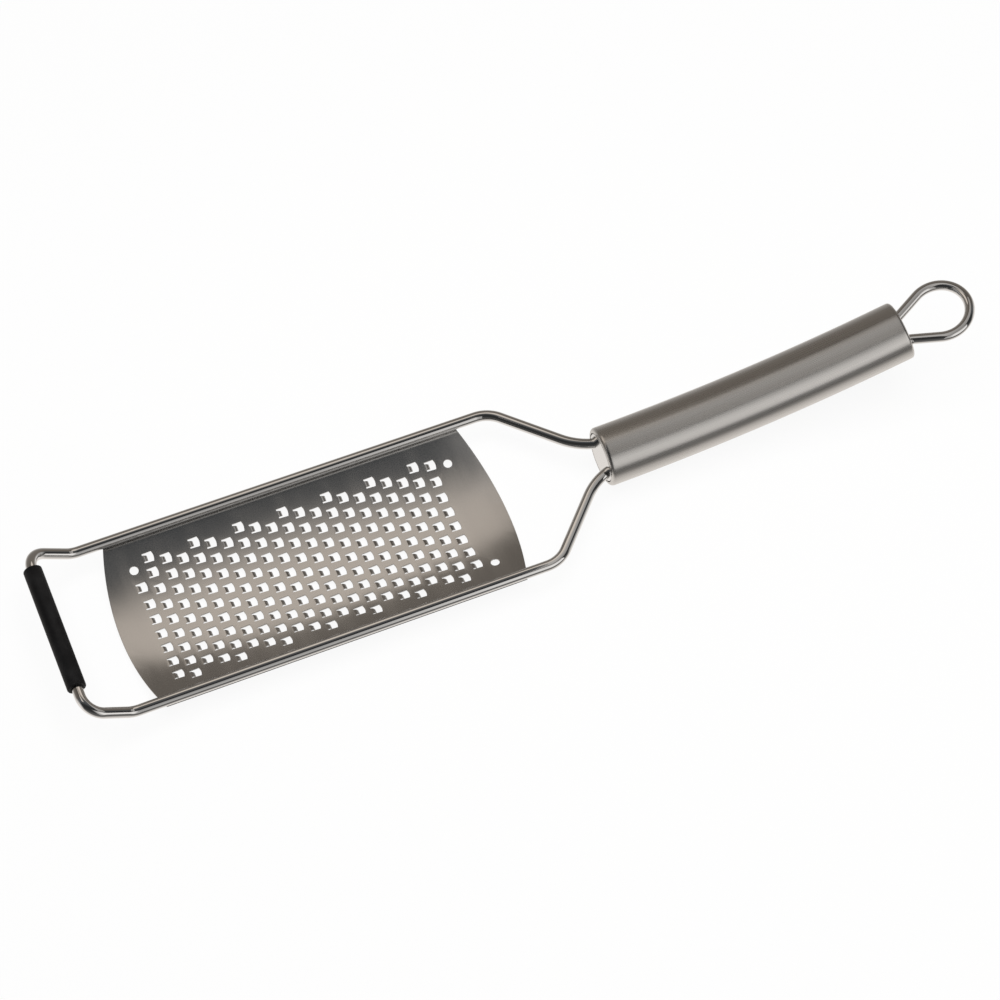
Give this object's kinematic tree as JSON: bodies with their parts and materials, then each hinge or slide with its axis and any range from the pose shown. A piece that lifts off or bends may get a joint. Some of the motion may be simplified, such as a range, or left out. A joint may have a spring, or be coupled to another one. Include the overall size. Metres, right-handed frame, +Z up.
{
  "type": "hand grater",
  "caption": "Hand-held steel kitchen grater: a toothed sheet rolled to a shallow trough in a bent wire frame, with a tube handle, a hanging loop and a soft sleeve on the turned-up front bow.",
  "frame": {"origin": "on the surface the grater lies on, under the middle of its overall length and width", "axes": "+X runs along the grater to the hanging loop, +Y across it, +Z up towards the hollow side of the sheet"},
  "size_m": [0.3594, 0.073, 0.0386],
  "materials": {
    "polished_wire": "polished round wire",
    "satin_sheet": "smooth satin sheet",
    "brushed_tube": "fine brushing along the tube",
    "bright_cap": "bright satin",
    "soft_sleeve": "matt black"
  },
  "bodies": {
    "root": {"wire_frame": "polished_wire", "grating_blade": "satin_sheet", "foot_sleeve": "soft_sleeve", "handle_tube": "brushed_tube", "handle_front_cap": "bright_cap", "handle_rear_cap": "bright_cap", "hanging_loop": "polished_wire"}
  },
  "joints": []
}
